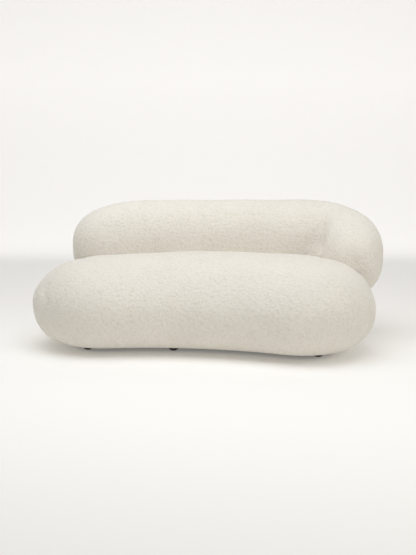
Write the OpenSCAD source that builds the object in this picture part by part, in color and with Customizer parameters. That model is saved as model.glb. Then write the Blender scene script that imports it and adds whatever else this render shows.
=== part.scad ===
// Curved two-seat sofa: a thick kidney-shaped seat on small turned feet, and a
// fat back roll that follows the rear edge and turns the right corner as an arm.
// +X is to the sitter's left hand side as seen from the front, -Y is the front,
// +Z is up. The origin is on the floor, under the middle of the overall box.

/* [Seat outline] */
// Centre of the left lobe, across
left_x = -491; // [-560:1:-420]
// Centre of the left lobe, front to back
left_y = -7; // [-60:1:40]
// Radius of the left lobe
left_r = 388; // [340:1:440]
// Centre of the right lobe, across
right_x = 518; // [440:1:600]
// Centre of the right lobe, front to back
right_y = -158; // [-210:1:-110]
// Radius of the right lobe
right_r = 389; // [340:1:440]
// Radius of the hollow front edge between the lobes
waist_r = 1507; // [1100:1:3000]
// Radius of the bulging rear edge
rear_r = 2117; // [1600:1:4000]

/* [Seat section] */
// Floor to the underside of the seat
seat_bottom = 28; // [20:1:60]
// Underside to the widest level
seat_low_h = 210; // [170:1:260]
// Widest level to the top edge
seat_high_h = 215; // [170:1:260]
// How far the lower rounding goes in
low_round = 200; // [150:1:240]
// How far the upper rounding goes in
high_round = 255; // [200:1:300]
// Fullness of the lower rounding
low_power = 2.28; // [1.8:0.01:3]
// Fullness of the upper rounding
high_power = 1.83; // [1.6:0.01:3]
// Extra height of the seat's middle over its top edge
seat_crown = 18; // [5:1:40]

/* [Back roll] */
// Right lobe's centre to the start of the corner, across
corner_past = 67; // [30:1:100]
// Right lobe's centre to the start of the corner, front to back
corner_behind = 503; // [460:1:540]
// Direction of the roll there, degrees from +X
corner_heading = -5.5; // [-15:0.5:5]
// Radius of the rear stretch
rear_path_r = 3150; // [2000:10:6000]
// How far the roll runs past the left lobe's centre
left_past = 224; // [180:1:260]
// Radius of the corner
corner_r = 265; // [220:1:340]
// Turn of the corner, degrees
corner_turn = 83; // [70:1:90]
// Radius of the arm stretch
arm_path_r = 2850; // [2000:10:6000]
// Length of the arm stretch
arm_path_len = 180; // [100:5:300]
// Half of the roll's thickness
roll_half_w = 173; // [150:1:210]
// Seat's top edge to the roll's widest level
roll_lift = 58; // [40:1:80]
// Widest level to the roll's top
roll_high_h = 242; // [200:1:290]
// Seat's widest level to the flat underside of the roll
flat_lift = 29; // [22:1:35]
// How far below its flat underside the roll's rounding aims
flat_cut = 22; // [18:1:28]
// Fullness of the roll's section
roll_power = 2.31; // [2:0.01:3]
// How much lower the roll is at the end of the arm
arm_drop = 57; // [20:1:80]
// Length over which the left end narrows
left_taper = 332; // [260:1:420]
// Length over which the arm's end narrows
arm_taper = 264; // [200:1:340]
// Length over which the top comes down at each end
top_taper = 476; // [380:1:560]
// Fullness of the roll's ends
end_power = 2.45; // [2:0.01:3]

/* [Upholstery layers] */
// Thickness of the cover fabric
cover_t = 3; // [2:0.5:5]
// Thickness of the wadding under the cover
wadding_t = 10; // [6:1:20]
// Clearance between seat and roll, and round parts that pass through foam
gap = 1; // [0.5:0.5:3]
// Thickness of the cloth under the seat and the roll
cloth_t = 1; // [0.5:0.5:2]

/* [Seat frame] */
// How far the frame stands inside the seat's flat underside
frame_clear = 3; // [1:1:15]
// Width of the two ring boards
ring_w = 84; // [70:1:100]
// Thickness of the ring boards
ring_t = 18; // [15:1:24]
// Thickness of the bent side skin
skin_t = 3; // [2:0.5:4]
// Side of the square posts
post_side = 44; // [34:1:54]
// Diameter of the frame dowels
dowel_d = 10; // [8:1:12]
// Length of the frame dowels
dowel_len = 34; // [30:1:44]
// Height of the rails under the webbing
rail_h = 70; // [50:1:90]
// Thickness of the rails under the webbing
rail_t = 25; // [18:1:32]
// Width of a webbing strap
strap_w = 70; // [50:1:80]
// Thickness of a webbing strap
strap_t = 1.5; // [1:0.5:3]
// Distance between strap centres
strap_pitch = 118; // [95:1:140]
// Thickness of the felt over the webbing
felt_t = 3; // [2:0.5:6]

/* [Feet] */
// Radius of a foot at its widest
foot_r = 26; // [20:1:30]
// Outer face of the frame to the centre of a foot
foot_in = 38; // [36:1:50]
// Thickness of the glide under a foot
glide_t = 3; // [2:0.5:5]
// Radius of the glide
glide_r = 15; // [10:1:18]
// Thread diameter of the bolt in a foot
foot_bolt_d = 8; // [6:1:10]

/* [Back frame] */
// Half of the width of the rail at the bottom of the roll
rail_half = 50; // [40:1:54]
// Thickness of the roll's two rails
back_rail_t = 18; // [15:1:24]
// Roll's widest level to the top face of the upper rail
rail_lift = 99; // [80:1:125]
// Start of the frame from the roll's left end
back_start = 245; // [235:5:290]
// End of the frame from the end of the arm
back_end = 200; // [190:5:240]
// Thickness of a plywood former
former_t = 18; // [15:1:24]
// Width of a bracket
bracket_w = 50; // [40:1:60]
// Thickness of a bracket
bracket_t = 6; // [5:1:8]
// Thread diameter of the bracket bolts
bolt_d = 8; // [6:1:10]

/* [Hidden] */
$fn = 48;
GRAD = 180 / PI;

// ---- levels of the outer shape ----
widest_z = seat_bottom + seat_low_h;
roll_flat_z = widest_z + flat_lift;
roll_low_z = roll_flat_z - flat_cut;
roll_mid_z = widest_z + seat_high_h + roll_lift;
back_top_z = roll_mid_z + rail_lift;

// ---- seat outline: two lobes joined by a hollow front arc and a bulging rear arc ----
left_c = [left_x, left_y];
right_c = [right_x, right_y];
mid_x = (left_x + right_x) / 2;
mid_y = (left_y + right_y) / 2;
lobe_gap = norm(right_c - left_c);
along = (right_c - left_c) / lobe_gap;
frontward = [along.y, -along.x];
// Centre of the circle at distance ra from the left lobe's centre and rb from the right's
function touching(ra, rb) =
    let (a = (ra * ra - rb * rb + lobe_gap * lobe_gap) / (2 * lobe_gap))
    left_c + along * a + frontward * sqrt(ra * ra - a * a);
waist_c = touching(left_r + waist_r, right_r + waist_r);
rear_c = touching(rear_r - left_r, rear_r - right_r);

function heading(v) = atan2(v.y, v.x);
function polar(r, a) = [r * cos(a), r * sin(a)];
// Angle b brought to within one turn above angle a
function above(a, b) = b < a ? above(a, b + 360) : b;

right_a0 = heading(waist_c - right_c);
right_a1 = above(right_a0, heading(right_c - rear_c));
rear_a0 = heading(right_c - rear_c);
rear_a1 = above(rear_a0, heading(left_c - rear_c));
left_a0 = heading(left_c - rear_c);
left_a1 = above(left_a0, heading(waist_c - left_c));
waist_a1 = heading(right_c - waist_c);
waist_a0 = above(waist_a1, heading(left_c - waist_c));

// Point on each arc of the outline, at a fraction f of the arc, moved in by d
function on_right(f, d) = right_c + polar(right_r - d, right_a0 + (right_a1 - right_a0) * f);
function on_rear(f, d) = rear_c + polar(rear_r - d, rear_a0 + (rear_a1 - rear_a0) * f);
function on_left(f, d) = left_c + polar(left_r - d, left_a0 + (left_a1 - left_a0) * f);
function on_waist(f, d) = waist_c + polar(waist_r + d, waist_a0 + (waist_a1 - waist_a0) * f);

lobe_steps = 15;
edge_steps = 8;
// Outline moved in by d, with its points shifted along by a fraction of a step
function outline(d, shift = 0) = [
    for (i = [0:lobe_steps - 1]) on_right((i + shift) / lobe_steps, d),
    for (i = [0:edge_steps - 1]) on_rear((i + shift) / edge_steps, d),
    for (i = [0:lobe_steps - 1]) on_left((i + shift) / lobe_steps, d),
    for (i = [0:edge_steps - 1]) on_waist((i + shift) / edge_steps, d)
];
// Boards are cut between the soft layers' corners
function board_outline(d) = outline(d, 0.5);

// Points where a closed outline crosses the line on which coordinate k is v
function crossings(pts, k, v) = [
    for (i = [0:len(pts) - 1])
        let (a = pts[i], b = pts[(i + 1) % len(pts)])
        if ((a[k] - v) * (b[k] - v) < 0)
            a + (b - a) * (v - a[k]) / (b[k] - a[k])
];

// ---- seat body as rings of the outline, thinned by d on every side ----
function rise(t, p) = pow(abs(sin(t)), 2 / p);
function reach(t, p) = 1 - pow(abs(cos(t)), 2 / p);
low_steps = 5;
high_steps = 6;
crown_steps = 3;
crown_run = 70;
// Each level is [inset, height]
function seat_levels(d) = [
    for (i = [0:low_steps - 1])
        let (t = -90 * (1 - i / low_steps))
        [d + (low_round - d) * reach(t, low_power),
            widest_z - (seat_low_h - d) * rise(t, low_power)],
    for (i = [0:high_steps])
        let (t = 90 * i / high_steps)
        [d + (high_round - d) * reach(t, high_power),
            widest_z + (seat_high_h - d) * rise(t, high_power)],
    for (i = [1:crown_steps])
        let (f = i / crown_steps)
        [high_round + crown_run * f,
            widest_z + seat_high_h - d + seat_crown * f * (2 - f)]
];

function band(k, n) = [for (i = [0:n - 1]) each [
    [k * n + i, k * n + (i + 1) % n, (k + 1) * n + (i + 1) % n],
    [k * n + i, (k + 1) * n + (i + 1) % n, (k + 1) * n + i]
]];
function lids(n, rings) = [
    [for (i = [0:n - 1]) n - 1 - i],
    [for (i = [0:n - 1]) (rings - 1) * n + i]
];

module rings_solid(rings) {
    n = len(rings[0]);
    bands = [for (k = [0:len(rings) - 2]) each band(k, n)];
    faces = concat(bands, lids(n, len(rings)));
    polyhedron([for (r = rings) each r], [for (f = faces) [for (i = [len(f) - 1:-1:0]) f[i]]]);
}

module seat_solid(d) {
    rings_solid([for (l = seat_levels(d)) [for (p = outline(l[0])) [p.x, p.y, l[1]]]]);
}

// ---- roll: a rounded section carried along an arc, a corner and an arm ----
// Point and heading after length l along an arc of radius r that turns right
function arc_end(p, h, r, l) =
    let (h2 = h - l / r * GRAD)
    [p + r * [sin(h) - sin(h2), cos(h2) - cos(h)], h2];
corner_p = right_c + [corner_past, corner_behind];
rear_path_len = corner_p.x - left_x + left_past;
corner_len = corner_r * corner_turn / GRAD;
arm_state = arc_end(corner_p, corner_heading, corner_r, corner_len);
path_len = rear_path_len + corner_len + arm_path_len;
function path_state(s) =
    s < rear_path_len ? arc_end(corner_p, corner_heading, rear_path_r, s - rear_path_len)
    : s < rear_path_len + corner_len
        ? arc_end(corner_p, corner_heading, corner_r, s - rear_path_len)
    : arc_end(arm_state[0], arm_state[1], arm_path_r, s - rear_path_len - corner_len);
// Point at distance s along the path and x to its right, which is the sitting side
function beside(s, x) = let (q = path_state(s)) q[0] + x * [sin(q[1]), -cos(q[1])];

function smooth(f) = f * f * (3 - 2 * f);
function mid_z(s) =
    roll_mid_z - arm_drop * smooth(max(0, s - rear_path_len) / (path_len - rear_path_len));
path_marks = [for (i = [0:40]) beside(path_len * i / 40, 0)];
// Distance of a point from the roll's path
function off_path(p) = min([for (m = path_marks) norm(p - m)]);
// Point p moved on by steps u until it is farther than need from the roll's path
function moved_clear(p, u, need) = off_path(p) > need ? p : moved_clear(p + u, u, need);
// Rounded end: 0 at the tip and 1 from length l on
function dome(s, l) = pow(1 - pow(1 - min(1, max(0, s / l)), end_power), 1 / end_power);
function ends(s, d, l0, l1) = dome(s - d, l0 - d) * dome(path_len - d - s, l1 - d);

section_n = 26;
left_rings = 6;
mid_rings = 4;
right_rings = 14;
function signed(v, p) = sign(v) * pow(abs(v), 2 / p);
function roll_ring(s, d, flat_z) =
    let (z0 = mid_z(s), w = ends(s, d, left_taper, arm_taper), h = ends(s, d, top_taper, top_taper))
    [for (i = [0:section_n - 1])
        let (t = -360 * i / section_n, c = signed(cos(t), roll_power), v = signed(sin(t), roll_power))
        let (p = beside(s, (roll_half_w - d) * w * c))
        [p.x, p.y, max(flat_z, v > 0 ? z0 + (roll_high_h - d) * h * v : z0 + (z0 - roll_low_z - d) * w * v)]
    ];
tip = 0.6;
function roll_stations(d) = [
    for (i = [0:left_rings - 1]) d + tip + (top_taper - d - tip) * (1 - cos(90 * i / left_rings)),
    for (i = [0:mid_rings - 1]) top_taper + (path_len - 2 * top_taper) * i / mid_rings,
    for (i = [0:right_rings]) path_len - d - tip - (top_taper - d - tip) * (1 - sin(90 * i / right_rings))
];
module roll_solid(d, flat_z) {
    rings_solid([for (s = roll_stations(d)) roll_ring(s, d, flat_z)]);
}

// Overall box, and the move that puts its middle over the origin
outer_points = concat(
    outline(0),
    [for (s = roll_stations(0)) each [for (p = roll_ring(s, 0, roll_flat_z)) [p.x, p.y]]]
);
xs = [for (p = outer_points) p.x];
ys = [for (p = outer_points) p.y];
box_mid = [min(xs) + max(xs), min(ys) + max(ys), 0] / 2;

module board(d, z, t) {
    translate([0, 0, z])
        linear_extrude(t)
            polygon(board_outline(d));
}

// Strip that follows the roll's path between two distances, h high from z
strip_steps = 26;
module path_strip(s0, s1, x0, x1, z, h) {
    steps = [for (i = [0:strip_steps]) s0 + (s1 - s0) * i / strip_steps];
    back = [for (i = [strip_steps:-1:0]) s0 + (s1 - s0) * i / strip_steps];
    translate([0, 0, z])
        linear_extrude(h)
            polygon(concat([for (s = steps) beside(s, x0)], [for (s = back) beside(s, x1)]));
}

// The unchanged resize keeps each soft layer one closed mesh
module soft() {
    resize([0, 0, 0])
        children();
}

// ---- levels ----
hem_top = seat_bottom + cover_t;
base_top = hem_top + ring_t;
bracket_z = roll_flat_z - bracket_t;
deck_top = roll_flat_z + ring_t;
strap_top = deck_top + 2 * strap_t;
felt_top = strap_top + felt_t;
rail_z = roll_flat_z + cover_t;
padding = cover_t + wadding_t;
notch_clear = 3;
frame_inset = low_round + frame_clear;
inner_inset = frame_inset + skin_t;
foot_inset = frame_inset + foot_in;
ring_mid = inner_inset + ring_w / 2;

// ---- seat frame ----
post_places = concat(
    [for (f = [0.12, 0.36, 0.63, 0.9]) on_left(f, ring_mid)],
    [for (f = [0.2, 0.62]) on_waist(f, ring_mid)],
    [for (f = [0.2, 0.48, 0.7]) on_right(f, ring_mid)],
    [for (f = [0.37, 0.59, 0.74]) on_rear(f, ring_mid)]
);

module dowel_set(d) {
    reach_in = dowel_len / 2;
    for (p = post_places)
        for (z = [base_top, roll_flat_z])
            translate([p.x, p.y, z - reach_in])
                cylinder(h = dowel_len, d = d);
}

foot_places = [
    on_left(0.76, foot_inset), on_waist(0.36, foot_inset), on_right(0.33, foot_inset),
    on_left(0.24, foot_inset), on_rear(0.5, foot_inset), on_right(0.9, foot_inset)
];
nut_flange_t = 1.5;
nut_flange_d = 22;
nut_barrel = 2.5;
nut_h = 12;
foot_top = seat_bottom - cloth_t;

// Tee nut with its flange upwards, top face at the origin
module tee_nut(bore) {
    difference() {
        union() {
            translate([0, 0, -nut_flange_t])
                cylinder(h = nut_flange_t, d = nut_flange_d);
            translate([0, 0, -nut_h])
                cylinder(h = nut_h, d = bore + 2 * nut_barrel);
        }
        translate([0, 0, -nut_h - 1])
            cylinder(h = nut_h + 2, d = bore);
    }
}

module tee_nut_hole(bore, depth) {
    translate([0, 0, -nut_flange_t])
        cylinder(h = nut_flange_t + 1, d = nut_flange_d);
    translate([0, 0, -depth - 1])
        cylinder(h = depth + 2, d = bore + 2 * nut_barrel);
}

staple_w = 12;
staple_t = 1;
staple_leg = 9;
// Staple driven down into a surface at the origin
module staple() {
    translate([-staple_w / 2, -staple_t / 2, 0])
        cube([staple_w, staple_t, staple_t]);
    for (x = [-staple_w / 2, staple_w / 2 - staple_t])
        translate([x, -staple_t / 2, -staple_leg])
            cube([staple_t, staple_t, staple_leg]);
}

hem_setback = 5;
hem_line = inner_inset + hem_setback;
hem_places = [
    for (f = [0.05:0.15:0.95]) each [
        [on_right(f, hem_line), right_a0 + (right_a1 - right_a0) * f],
        [on_left(f, hem_line), left_a0 + (left_a1 - left_a0) * f]
    ],
    for (f = [0.15:0.24:0.87]) each [
        [on_rear(f, hem_line), rear_a0 + (rear_a1 - rear_a0) * f],
        [on_waist(f, hem_line), waist_a0 + (waist_a1 - waist_a0) * f]
    ]
];
module hem_staples() {
    for (h = hem_places)
        translate([h[0].x, h[0].y, foot_top])
            rotate([180, 0, h[1] + 90])
                staple();
}

tie_w = 90;
tie_in = 190;
tie_xs = [left_x + tie_in, right_x - tie_in];
module base_ring() {
    color("burlywood") place() difference() {
        union() {
            difference() {
                board(inner_inset, hem_top, ring_t);
                board(inner_inset + ring_w, hem_top - 1, ring_t + 2);
            }
            intersection() {
                board(inner_inset + ring_w / 2, hem_top, ring_t);
                for (x = tie_xs)
                    translate([x - tie_w / 2, -seat_span, hem_top])
                        cube([tie_w, 2 * seat_span, ring_t]);
            }
        }
        dowel_set(dowel_d);
        hem_staples();
        for (p = foot_places)
            translate([p.x, p.y, base_top])
                tee_nut_hole(foot_bolt_d, ring_t);
    }
}

seat_span = 1200;
// Half of the roll's thickness at height z
function roll_half_at(z) =
    roll_half_w * pow(1 - pow((roll_mid_z - z) / (roll_mid_z - roll_low_z), roll_power), 1 / roll_power);
// Cut that lets the roll sink past a layer whose top is at height z, and as far out as back
module roll_notch(z, back) {
    half = roll_half_at(z) + notch_clear;
    path_strip(back_start / 2, path_len, -max(half, back), half, roll_flat_z - 1, seat_span);
}

module deck_ring() {
    color("burlywood") place() difference() {
        board(inner_inset, roll_flat_z, ring_t);
        board(inner_inset + ring_w, roll_flat_z - 1, ring_t + 2);
        roll_notch(deck_top, 0);
        dowel_set(dowel_d);
        strap_staples();
        for (b = bracket_ends)
            translate([b[0].x, b[0].y, deck_top])
                tee_nut_hole(bolt_d, ring_t);
    }
}

module seat_posts() {
    color("peru") place() difference() {
        for (p = post_places)
            translate([p.x - post_side / 2, p.y - post_side / 2, base_top])
                cube([post_side, post_side, roll_flat_z - base_top]);
        dowel_set(dowel_d);
    }
}

module post_dowels() {
    color("wheat") place() dowel_set(dowel_d);
}

// Flat rails on edge that keep the two long sides of the deck apart
rail_in_left = 165;
rail_in_right = 130;
rail_xs = [left_x + rail_in_left, mid_x, right_x - rail_in_right];
module webbing_rails() {
    color("peru") place() for (x = rail_xs) {
        ends_y = [for (p = crossings(board_outline(inner_inset + ring_w / 3), 0, x)) p.y];
        translate([x - rail_t / 2, min(ends_y), roll_flat_z - rail_h])
            cube([rail_t, max(ends_y) - min(ends_y), rail_h]);
    }
}

module seat_skin() {
    color("sienna") place() difference() {
        board(frame_inset, hem_top, bracket_z - hem_top);
        board(inner_inset, hem_top - 1, bracket_z - hem_top + 2);
    }
}

// ---- webbing ----
strap_setback = 12;
staple_setback = 14;
strap_edge = inner_inset + strap_setback;
staple_inset = strap_edge + staple_setback;
strap_shift = 8;
long_ys = [for (i = [-2:2]) mid_y + strap_shift + i * strap_pitch];
cross_xs = [for (i = [-5:5]) mid_x + i * strap_pitch];
module webbing_long() {
    color("dimgray") place() difference() {
        intersection() {
            board(strap_edge, deck_top, strap_t);
            for (y = long_ys)
                translate([-seat_span, y - strap_w / 2, deck_top])
                    cube([2 * seat_span, strap_w, strap_t]);
        }
        strap_staples();
        roll_notch(strap_top, seat_span);
    }
}

module webbing_cross() {
    color("gray") place() difference() {
        intersection() {
            board(strap_edge, deck_top + strap_t, strap_t);
            for (x = cross_xs)
                translate([x - strap_w / 2, -seat_span, deck_top + strap_t])
                    cube([strap_w, 2 * seat_span, strap_t]);
        }
        strap_staples();
        roll_notch(strap_top, seat_span);
    }
}

// Staples near the strap ends, moved in along the strap where the roll comes down
staple_clear = roll_half_at(strap_top) + notch_clear + staple_w / 2;
staple_step = 3;
long_ends = [
    for (y = long_ys, p = crossings(board_outline(staple_inset), 1, y))
        moved_clear(p, [staple_step * sign(mid_x - p.x), 0], staple_clear)
];
cross_ends = [
    for (x = cross_xs, p = crossings(board_outline(staple_inset), 0, x))
        moved_clear(p, [0, staple_step * sign(mid_y - p.y)], staple_clear)
];
module strap_staples() {
    for (p = long_ends)
        translate([p.x, p.y, deck_top + strap_t])
            rotate(90)
                staple();
    for (p = cross_ends)
        translate([p.x, p.y, strap_top])
            staple();
}

module webbing_staples() {
    color("silver") place() strap_staples();
}

felt_in = 2;
module deck_felt() {
    color("lightslategray") place() difference() {
        board(frame_inset + felt_in, strap_top, felt_t);
        strap_staples();
        roll_notch(felt_top, seat_span);
    }
}

// ---- seat upholstery ----
// Everything that the soft layers of the seat are cut back for
module seat_cuts() {
    half = rail_half + 2 * gap;
    roll_solid(-gap, roll_flat_z - gap);
    path_strip(
        back_start - 2 * gap, path_end + 2 * gap, -half, half, roll_flat_z - pocket, 2 * pocket
    );
    bracket_bars(gap);
    for (b = bracket_ends, p = b)
        translate([p.x, p.y, bracket_z - head_h - gap])
            cylinder(h = head_h + 2 * gap, r = bolt_d + gap, $fn = 16);
}
pocket = 4;

module below(z) {
    translate([-2 * seat_span, -2 * seat_span, -seat_span])
        cube([4 * seat_span, 4 * seat_span, seat_span + z]);
}

module seat_side_foam() {
    color("lightyellow") place() soft() difference() {
        intersection() {
            seat_solid(padding);
            below(felt_top);
        }
        board(frame_inset, -1, bracket_z + 1);
        board(frame_inset, bracket_z - 1, seat_span);
        seat_cuts();
    }
}

module seat_top_foam() {
    color("khaki") place() soft() difference() {
        seat_solid(padding);
        below(felt_top);
        seat_cuts();
    }
}

module seat_wadding() {
    color("whitesmoke") place() soft() difference() {
        seat_solid(cover_t);
        seat_solid(padding);
        board(frame_inset, 0, widest_z);
        seat_cuts();
    }
}

hem_in = 2;
module seat_cover() {
    color("ivory") place() soft() difference() {
        seat_solid(0);
        seat_solid(cover_t);
        board(inner_inset + ring_w - hem_in, 0, widest_z);
        seat_cuts();
        hem_staples();
        for (p = foot_places)
            translate([p.x, p.y, 0])
                cylinder(h = base_top, r = foot_bolt_d / 2 + gap, $fn = 16);
    }
}

module cover_staples() {
    color("silver") place() hem_staples();
}

dust_setback = 12;
module dust_cover() {
    color("black") place() difference() {
        board(low_round + dust_setback, foot_top, cloth_t);
        hem_staples();
        for (p = foot_places)
            translate([p.x, p.y, 0])
                cylinder(h = seat_bottom + 1, d = foot_bolt_d);
    }
}

// ---- feet ----
// Height of a foot's widest level, as a share of the foot
belly = 0.62;
// Turned bun foot: flat top, rounded side, flat seat for the glide
module foot(i) {
    h = foot_top - glide_t;
    translate([foot_places[i].x, foot_places[i].y, glide_t])
        rotate_extrude()
            difference() {
                intersection() {
                    translate([0, h * belly])
                        union() {
                            circle(r = foot_r);
                            square([foot_r, h]);
                        }
                    square([foot_r, h]);
                }
                square([foot_bolt_d / 2, h + 1]);
            }
}

module foot_part(i) {
    color("black") place() foot(i);
}

module foot_front_left() { foot_part(0); }
module foot_front_middle() { foot_part(1); }
module foot_front_right() { foot_part(2); }
module foot_back_left() { foot_part(3); }
module foot_back_middle() { foot_part(4); }
module foot_back_right() { foot_part(5); }

module glide(i) {
    color("dimgray") place()
        translate([foot_places[i].x, foot_places[i].y, 0])
            cylinder(h = glide_t, r = glide_r);
}

module glide_front_left() { glide(0); }
module glide_front_middle() { glide(1); }
module glide_front_right() { glide(2); }
module glide_back_left() { glide(3); }
module glide_back_middle() { glide(4); }
module glide_back_right() { glide(5); }

module foot_bolts() {
    color("silver") place() for (p = foot_places)
        translate([p.x, p.y, glide_t])
            cylinder(h = base_top - glide_t, d = foot_bolt_d);
}

module foot_tee_nuts() {
    color("silver") place() for (p = foot_places)
        translate([p.x, p.y, base_top])
            tee_nut(foot_bolt_d);
}

// ---- brackets between the seat frame and the roll ----
// Places on the ring boards where a bolt and its tee nut clear the roll
nut_edge = nut_flange_d / 2 + notch_clear;
bolt_clear = roll_half_at(deck_top) + nut_edge;
ring_spots = [
    for (d = [ring_mid:7:inner_inset + ring_w - nut_edge], f = [0:0.02:1])
        for (q = [on_right(f, d), on_rear(f, d), on_left(f, d)])
            if (off_path(q) > bolt_clear) q
];
// Ring spot that is nearest to p
function nearest(p) =
    let (d = [for (q = ring_spots) norm(q - p)], m = min(d))
    [for (i = [0:len(d) - 1]) if (d[i] == m) ring_spots[i]][0];
bracket_n = 6;
first_in = 80;
last_in = 40;
bracket_first = back_start + first_in;
bracket_last = path_len - back_end - last_in;
bracket_ends = [
    for (i = [0:bracket_n - 1])
        let (p = beside(bracket_first + (bracket_last - bracket_first) * i / (bracket_n - 1), 0))
        [nearest(p), p]
];
bracket_over = 26;
// The bars, or with c above 0 the pockets that clear them by c
module bracket_bars(c) {
    for (b = bracket_ends) {
        bar_len = norm(b[1] - b[0]) + 2 * (bracket_over + c);
        translate([b[0].x, b[0].y, bracket_z - c])
            rotate(heading(b[1] - b[0]))
                translate([-bracket_over - c, -bracket_w / 2 - c, 0])
                    cube([bar_len, bracket_w + 2 * c, bracket_t + 2 * c]);
    }
}

module bolt_holes(z, h, d) {
    for (b = bracket_ends, p = b)
        translate([p.x, p.y, z])
            cylinder(h = h, d = d);
}

module back_brackets() {
    color("dimgray") place() difference() {
        bracket_bars(0);
        bolt_holes(bracket_z - 1, bracket_t + 2, bolt_d);
    }
}

spacer_d = 3 * bolt_d;
module bracket_spacers() {
    color("silver") place() for (b = bracket_ends)
        translate([b[1].x, b[1].y, roll_flat_z])
            difference() {
                cylinder(h = cover_t, d = spacer_d);
                translate([0, 0, -1])
                    cylinder(h = cover_t + 2, d = bolt_d);
            }
}

head_h = 5;
head_d = 1.8 * bolt_d;
bolt_tops = [deck_top, rail_z + back_rail_t];
module bracket_bolts() {
    color("silver") place() for (b = bracket_ends, e = [0, 1])
        translate([b[e].x, b[e].y, 0]) {
            translate([0, 0, bracket_z - head_h])
                cylinder(h = head_h, d = head_d, $fn = 6);
            translate([0, 0, bracket_z])
                cylinder(h = bolt_tops[e] - bracket_z, d = bolt_d);
        }
}

module bracket_tee_nuts() {
    color("silver") place() for (b = bracket_ends, e = [0, 1])
        translate([b[e].x, b[e].y, bolt_tops[e]])
            tee_nut(bolt_d);
}

// ---- roll frame ----
path_end = path_len - back_end;
former_n = 9;
former_first = back_start + former_t;
former_step = (path_end - former_t - former_first) / (former_n - 1);
former_places = [for (i = [0:former_n - 1]) former_first + former_step * i];
former_z = rail_z + back_rail_t;
former_h = back_top_z - back_rail_t - former_z;
frame_half = rail_half - skin_t;

module back_bottom_rail() {
    color("burlywood") place() difference() {
        path_strip(back_start, path_end, -rail_half, rail_half, rail_z, back_rail_t);
        for (b = bracket_ends)
            translate([b[1].x, b[1].y, rail_z + back_rail_t])
                tee_nut_hole(bolt_d, back_rail_t);
        former_fixings(rail_z - 1, back_rail_t + 1 + screw_in);
        roll_staples();
    }
}

module back_top_rail() {
    color("burlywood") place() difference() {
        path_strip(back_start, path_end, -rail_half, rail_half, back_top_z - back_rail_t, back_rail_t);
        former_fixings(back_top_z - back_rail_t - screw_in, screw_in + back_rail_t + 1);
    }
}

screw_d = 5;
screw_in = 32;
screw_side = 26;
module former_fixings(z, h) {
    for (s = former_places, x = [-screw_side, screw_side]) {
        p = beside(s, x);
        translate([p.x, p.y, z])
            cylinder(h = h, d = screw_d);
    }
}

module back_formers() {
    color("peru") place() difference() {
        intersection() {
            path_strip(back_start, path_end, -frame_half, frame_half, former_z, former_h);
            for (s = former_places) {
                q = path_state(s);
                translate([q[0].x, q[0].y, former_z])
                    rotate(q[1])
                        translate([-former_t / 2, -rail_half, 0])
                            cube([former_t, 2 * rail_half, former_h]);
            }
        }
        former_fixings(former_z - 1, screw_in + 1);
        former_fixings(former_z + former_h - screw_in, screw_in + 1);
    }
}

module former_screws() {
    color("goldenrod") place() {
        former_fixings(rail_z, back_rail_t + screw_in);
        former_fixings(back_top_z - back_rail_t - screw_in, back_rail_t + screw_in);
    }
}

module back_front_skin() {
    color("sienna") place() path_strip(back_start, path_end, frame_half, rail_half, former_z, former_h);
}

module back_rear_skin() {
    color("sienna") place() path_strip(back_start, path_end, -rail_half, -frame_half, former_z, former_h);
}

// ---- roll upholstery ----
module roll_core() {
    path_strip(back_start, path_end, -rail_half, rail_half, 0, back_top_z);
}

hem_half = 34;
module roll_mouth(x, trim) {
    path_strip(back_start + trim, path_end - trim, -x, x, 0, rail_z + 1);
}

module back_foam() {
    color("lightyellow") place() soft() difference() {
        roll_solid(padding, rail_z);
        roll_core();
    }
}

module back_wadding() {
    color("whitesmoke") place() soft() difference() {
        roll_solid(cover_t, rail_z);
        roll_solid(padding, rail_z - 1);
        roll_core();
    }
}

module back_cover() {
    color("ivory") place() soft() difference() {
        roll_solid(0, roll_flat_z);
        roll_solid(cover_t, rail_z);
        roll_mouth(hem_half, rail_half - hem_half);
        roll_staples();
    }
}

cloth_short = 30;
module back_cloth() {
    color("black") place() difference() {
        path_strip(
            back_start + cloth_short, path_end - cloth_short, -rail_half, rail_half,
            roll_flat_z - cloth_t, cloth_t
        );
        bracket_bars(gap);
        bolt_holes(roll_flat_z - pocket, 2 * pocket, spacer_d);
        roll_staples();
    }
}

bracket_step = (bracket_last - bracket_first) / (bracket_n - 1);
staple_places = [for (i = [0:bracket_n - 2], f = [0.25, 0.75]) bracket_first + bracket_step * (i + f)];
staple_side = rail_half - 8;
module roll_staples() {
    for (s = staple_places, x = [-staple_side, staple_side]) {
        p = beside(s, x);
        translate([p.x, p.y, roll_flat_z - cloth_t])
            rotate([180, 0, path_state(s)[1]])
                staple();
    }
}

module back_staples() {
    color("silver") place() roll_staples();
}

module place() {
    translate(-box_mid)
        children();
}

base_ring();
deck_ring();
seat_posts();
post_dowels();
webbing_rails();
seat_skin();
webbing_long();
webbing_cross();
webbing_staples();
deck_felt();
seat_side_foam();
seat_top_foam();
seat_wadding();
seat_cover();
cover_staples();
dust_cover();
foot_front_left();
foot_front_middle();
foot_front_right();
foot_back_left();
foot_back_middle();
foot_back_right();
glide_front_left();
glide_front_middle();
glide_front_right();
glide_back_left();
glide_back_middle();
glide_back_right();
foot_bolts();
foot_tee_nuts();
back_brackets();
bracket_spacers();
bracket_bolts();
bracket_tee_nuts();
back_bottom_rail();
back_top_rail();
back_formers();
former_screws();
back_front_skin();
back_rear_skin();
back_foam();
back_wadding();
back_cover();
back_cloth();
back_staples();
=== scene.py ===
import math

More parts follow.
